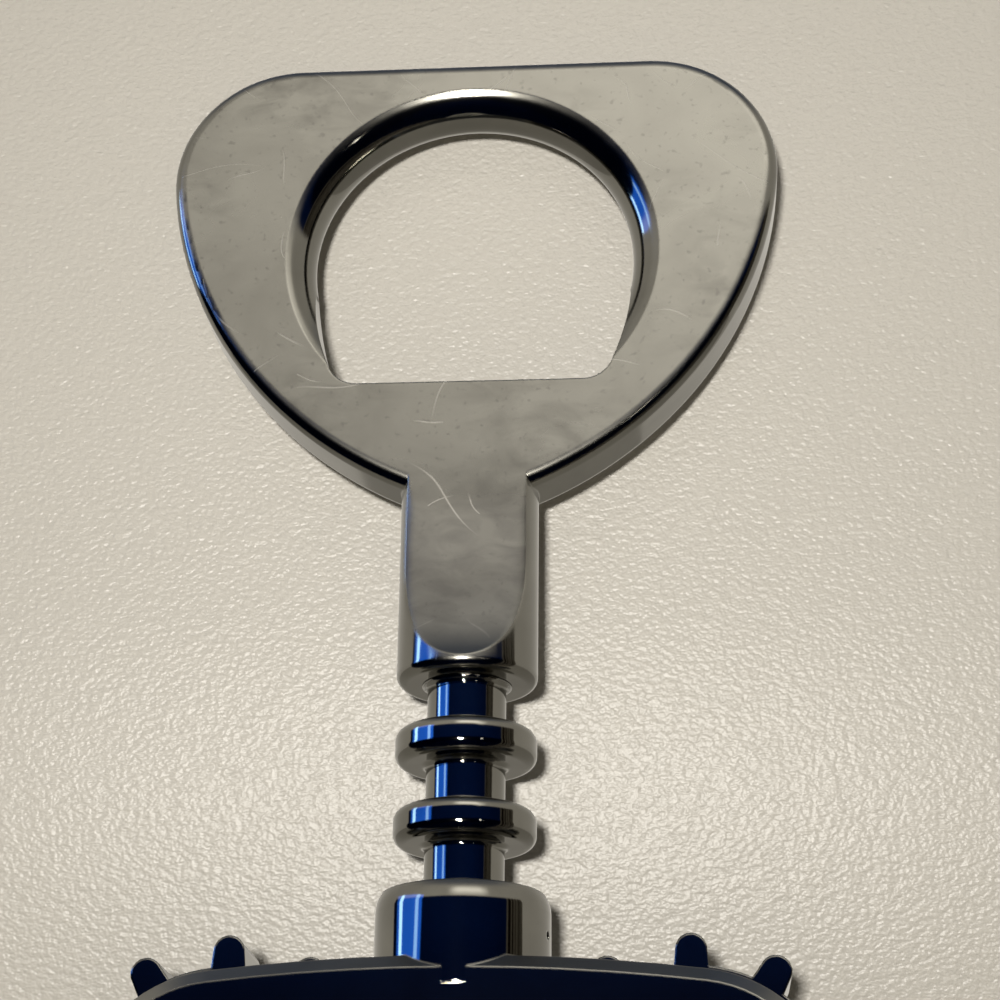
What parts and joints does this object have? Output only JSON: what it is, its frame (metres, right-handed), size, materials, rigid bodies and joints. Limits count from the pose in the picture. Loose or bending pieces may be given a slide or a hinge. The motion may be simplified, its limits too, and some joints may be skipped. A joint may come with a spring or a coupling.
{
  "type": "wing corkscrew",
  "caption": "Wing corkscrew: geared levers and a round rack lift a free-turning worm; the head is a crown-cap opener and the bell seats on a bottle's lip.",
  "frame": {"origin": "centre of the bell's flat bottom rim, on the worm's axis", "axes": "+Z along the worm's axis towards the opener head, +X towards the right lever, -Y is the front"},
  "size_m": [0.0694, 0.036, 0.1623],
  "materials": {
    "black_chrome": "zinc die casting, polished and plated in black chrome",
    "plated_steel": "steel, bright nickel plated",
    "spring_steel": "hardened spring steel, phosphated",
    "nylon": "black nylon, moulded, fine matt grain"
  },
  "bodies": {
    "frame": {"body_frame": "black_chrome", "bell": "black_chrome", "bell_insert": "nylon", "lip_pad": "nylon", "pivot_pin_right": "plated_steel", "pivot_pin_left": "plated_steel", "burr_washer_right": "plated_steel", "burr_washer_left": "plated_steel", "thrust_washer_right_front": "nylon", "thrust_washer_right_rear": "nylon", "thrust_washer_left_front": "nylon", "thrust_washer_left_rear": "nylon"},
    "rack": {"rack": "black_chrome"},
    "head": {"head_opener": "black_chrome", "worm": "plated_steel", "worm_pin": "plated_steel", "rack_washer": "plated_steel", "rack_clip": "spring_steel"},
    "right_wing": {"lever_right": "black_chrome"},
    "left_wing": {"lever_left": "black_chrome"}
  },
  "joints": [
    {"name": "right_wing_swing", "type": "hinge", "parent": "frame", "child": "right_wing", "pos_m": [0.0154, 0, 0.082], "axis": [0, -1, 0], "range_deg": [0, 150]},
    {"name": "left_wing_swing", "type": "hinge", "parent": "frame", "child": "left_wing", "pos_m": [-0.0154, 0, 0.082], "axis": [0, 1, 0], "range_deg": [0, 150]},
    {"name": "rack_slide", "type": "slide", "parent": "frame", "child": "rack", "axis": [0, 0, 1], "range_m": [-0.0285, 0]},
    {"name": "head_spin", "type": "hinge", "parent": "rack", "child": "head", "pos_m": [0, 0, 0.11], "axis": [0, 0, 1], "continuous": true}
  ],
  "couplings": [
    {"joint": "left_wing_swing", "follows": "right_wing_swing", "ratio": 1},
    {"joint": "rack_slide", "follows": "right_wing_swing", "m_per_rad": -0.010886}
  ]
}
